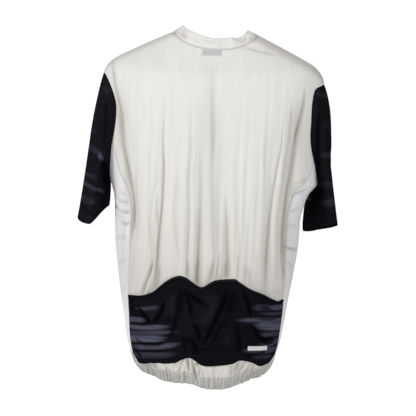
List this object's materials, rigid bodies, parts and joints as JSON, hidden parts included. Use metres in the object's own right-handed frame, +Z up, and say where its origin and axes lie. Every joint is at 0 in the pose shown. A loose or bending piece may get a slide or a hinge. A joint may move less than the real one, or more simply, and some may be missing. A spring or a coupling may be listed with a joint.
{
  "type": "cycling jersey",
  "caption": "Short-sleeved cycling jersey with a full front zip, close collar, elastic hem and three back pockets, hollow as if worn.",
  "frame": {"origin": "midway between the two points where the shoulders meet the collar, where the wearer carries the jersey", "axes": "+Z up, +X to the wearer's left, -Y the way the wearer faces, so the pockets are on the +Y side"},
  "size_m": [0.531, 0.2452, 0.7309],
  "materials": {
    "white_cloth": "matt knitted polyester, thin enough for what lies behind it to show faintly",
    "side_cloth": "matt light knitted mesh",
    "dark_cloth": "matt stretch knit, near-black navy with slate stripes",
    "elastic_band": "matt gathered elastic",
    "zip_tape": "woven tape with moulded teeth",
    "label": "plain printed satin",
    "seam_tab": "plain woven tape",
    "zip_metal": "satin grey"
  },
  "bodies": {
    "jersey": {"back_panel": "white_cloth", "front_panel_left": "white_cloth", "front_panel_right": "white_cloth", "side_panel_left": "side_cloth", "side_panel_right": "side_cloth", "sleeve_left": "dark_cloth", "sleeve_right": "dark_cloth", "cuff_left": "dark_cloth", "cuff_right": "dark_cloth", "collar": "white_cloth", "hem_band": "elastic_band", "zip_tape": "zip_tape", "pocket_panel": "dark_cloth", "pocket_binding": "dark_cloth", "neck_label": "label", "side_label": "seam_tab", "zip_slider": "zip_metal"},
    "pull": {"zip_pull": "zip_metal"}
  },
  "joints": [
    {"name": "pull_swing", "type": "hinge", "parent": "jersey", "child": "pull", "pos_m": [0, -0.0784, -0.054], "axis": [-1, 0, 0], "range_deg": [0, 150]}
  ]
}
